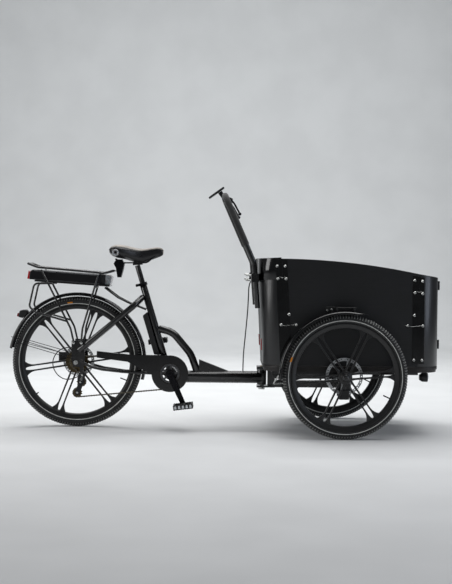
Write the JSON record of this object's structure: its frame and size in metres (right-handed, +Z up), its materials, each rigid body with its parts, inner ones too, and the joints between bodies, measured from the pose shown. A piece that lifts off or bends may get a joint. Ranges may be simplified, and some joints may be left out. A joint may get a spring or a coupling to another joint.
{
  "type": "cargo bicycle",
  "caption": "Three-wheeled electric-assist cargo bicycle with a large front box between two front wheels, pivoting front carrier, push-bar handlebar and rear rack battery.",
  "frame": {"origin": "on the ground under the middle of the bicycle's box", "axes": "+X forward, +Y to the rider's left, +Z up"},
  "size_m": [2.1586, 0.864, 1.2293],
  "materials": {
    "frame_paint": "gloss",
    "tyre": "matt",
    "cast_alloy": "satin",
    "steel": "brushed",
    "dark_steel": "satin",
    "black_plastic": "satin",
    "gloss_plastic": "gloss",
    "grip_rubber": "matt",
    "saddle_cover": "satin",
    "faced_board": "satin",
    "floor_board": "matt",
    "lamp_lens": "gloss",
    "cable": "matt",
    "alloy": "satin"
  },
  "bodies": {
    "rear_frame": {"main_tube": "frame_paint", "bearing_cups": "steel", "seat_tube": "frame_paint", "arch_tube": "frame_paint", "seatstays": "frame_paint", "chainstays": "frame_paint", "rear_axle": "steel", "controller_box": "black_plastic", "rear_calliper": "dark_steel", "chain": "dark_steel", "derailleur": "dark_steel", "chain_guard": "gloss_plastic", "gear_cable": "cable", "rear_mudguard": "gloss_plastic", "rear_lamp": "lamp_lens", "rear_rack": "frame_paint", "seat_collar": "cast_alloy"},
    "rear_wheel": {"rear_tyre": "tyre", "rear_cast_wheel": "cast_alloy"},
    "cassette": {"cassette": "dark_steel"},
    "crank": {"chainring": "dark_steel", "crank_arm_right": "cast_alloy", "crank_arm_left": "cast_alloy"},
    "right_pedal": {"pedal_right": "black_plastic"},
    "left_pedal": {"pedal_left": "black_plastic"},
    "guide_pulley": {"guide_pulley": "black_plastic"},
    "tension_pulley": {"tension_pulley": "black_plastic"},
    "battery": {"battery": "gloss_plastic"},
    "seat_lever": {"seat_lever": "alloy"},
    "saddle_assembly": {"seat_post": "cast_alloy", "saddle_rails": "dark_steel", "saddle": "saddle_cover"},
    "front_carrier": {"front_frame": "frame_paint", "kingpin": "steel", "front_callipers": "dark_steel", "box_floor": "floor_board", "rear_panel": "faced_board", "rear_corners": "black_plastic", "side_panels": "faced_board", "front_corners": "black_plastic", "door_frame": "faced_board", "corner_straps": "gloss_plastic", "bolts": "steel", "front_mudguards": "gloss_plastic", "front_lamp": "black_plastic", "rear_reflectors": "lamp_lens", "handlebar_clamps": "cast_alloy", "steering_cable": "cable"},
    "front_door": {"front_door": "faced_board"},
    "latch_bolt": {"latch_bolt": "steel"},
    "handlebar": {"handlebar": "frame_paint", "grips": "grip_rubber", "bar_fittings": "black_plastic", "display": "black_plastic"},
    "left_brake_lever": {"brake_lever_left": "alloy"},
    "right_brake_lever": {"brake_lever_right": "alloy"},
    "left_front_wheel": {"front_left_tyre": "tyre", "front_left_cast_wheel": "cast_alloy"},
    "right_front_wheel": {"front_right_tyre": "tyre", "front_right_cast_wheel": "cast_alloy"}
  },
  "joints": [
    {"name": "rear_wheel_spin", "type": "hinge", "parent": "rear_frame", "child": "rear_wheel", "pos_m": [-0.73274, 0, 0.332], "axis": [0, 1, 0], "continuous": true},
    {"name": "crank_spin", "type": "hinge", "parent": "rear_frame", "child": "crank", "pos_m": [-0.25774, 0, 0.277], "axis": [0, 1, 0], "continuous": true},
    {"name": "cassette_spin", "type": "hinge", "parent": "rear_frame", "child": "cassette", "pos_m": [-0.73274, 0, 0.332], "axis": [0, 1, 0], "continuous": true},
    {"name": "guide_pulley_spin", "type": "hinge", "parent": "rear_frame", "child": "guide_pulley", "pos_m": [-0.70674, 0, 0.232], "axis": [0, 1, 0], "continuous": true},
    {"name": "tension_pulley_spin", "type": "hinge", "parent": "rear_frame", "child": "tension_pulley", "pos_m": [-0.72674, 0, 0.177], "axis": [0, 1, 0], "continuous": true},
    {"name": "right_pedal_spin", "type": "hinge", "parent": "crank", "child": "right_pedal", "pos_m": [-0.1859, 0, 0.12293], "axis": [0, 1, 0], "continuous": true},
    {"name": "left_pedal_spin", "type": "hinge", "parent": "crank", "child": "left_pedal", "pos_m": [-0.32959, 0, 0.43107], "axis": [0, 1, 0], "continuous": true},
    {"name": "battery_slide", "type": "slide", "parent": "rear_frame", "child": "battery", "axis": [-0.998, 0, 0.0628], "range_m": [0, 0.3]},
    {"name": "seat_lever_swing", "type": "hinge", "parent": "rear_frame", "child": "seat_lever", "pos_m": [-0.428, 0, 0.72215], "axis": [0, 1, 0], "range_deg": [-35, 20]},
    {"name": "seat_post_slide", "type": "slide", "parent": "rear_frame", "child": "saddle_assembly", "axis": [-0.2874, 0, 0.9578], "range_m": [-0.06, 0.08]},
    {"name": "steering", "type": "hinge", "parent": "rear_frame", "child": "front_carrier", "pos_m": [0.20926, 0, 0.2585], "axis": [0, 0, 1], "range_deg": [-38, 38], "deforming": ["steering_cable"]},
    {"name": "left_front_wheel_spin", "type": "hinge", "parent": "front_carrier", "child": "left_front_wheel", "pos_m": [0.59726, 0.39, 0.299], "axis": [0, 1, 0], "continuous": true},
    {"name": "right_front_wheel_spin", "type": "hinge", "parent": "front_carrier", "child": "right_front_wheel", "pos_m": [0.59726, -0.39, 0.299], "axis": [0, 1, 0], "continuous": true},
    {"name": "front_door_swing", "type": "hinge", "parent": "front_carrier", "child": "front_door", "pos_m": [1.07326, -0.197, 0.344], "axis": [0, 0, 1], "range_deg": [-95, 0]},
    {"name": "latch_slide", "type": "slide", "parent": "front_door", "child": "latch_bolt", "axis": [0, -1, 0], "range_m": [0, 0.02]},
    {"name": "handlebar_slide", "type": "slide", "parent": "front_carrier", "child": "handlebar", "axis": [-0.0812, 0, 0.9967], "range_m": [0, 0.08]},
    {"name": "left_brake_lever_swing", "type": "hinge", "parent": "handlebar", "child": "left_brake_lever", "pos_m": [0.04126, 0.216, 1.156], "axis": [0, 1, 0], "range_deg": [0, 12], "stiffness_Nm_per_rad": 0.6},
    {"name": "right_brake_lever_swing", "type": "hinge", "parent": "handlebar", "child": "right_brake_lever", "pos_m": [0.04126, -0.216, 1.156], "axis": [0, 1, 0], "range_deg": [0, 12], "stiffness_Nm_per_rad": 0.6}
  ],
  "couplings": [
    {"joint": "cassette_spin", "follows": "crank_spin", "ratio": 2.375},
    {"joint": "guide_pulley_spin", "follows": "crank_spin", "ratio": -3.4545},
    {"joint": "tension_pulley_spin", "follows": "crank_spin", "ratio": 3.4545}
  ]
}
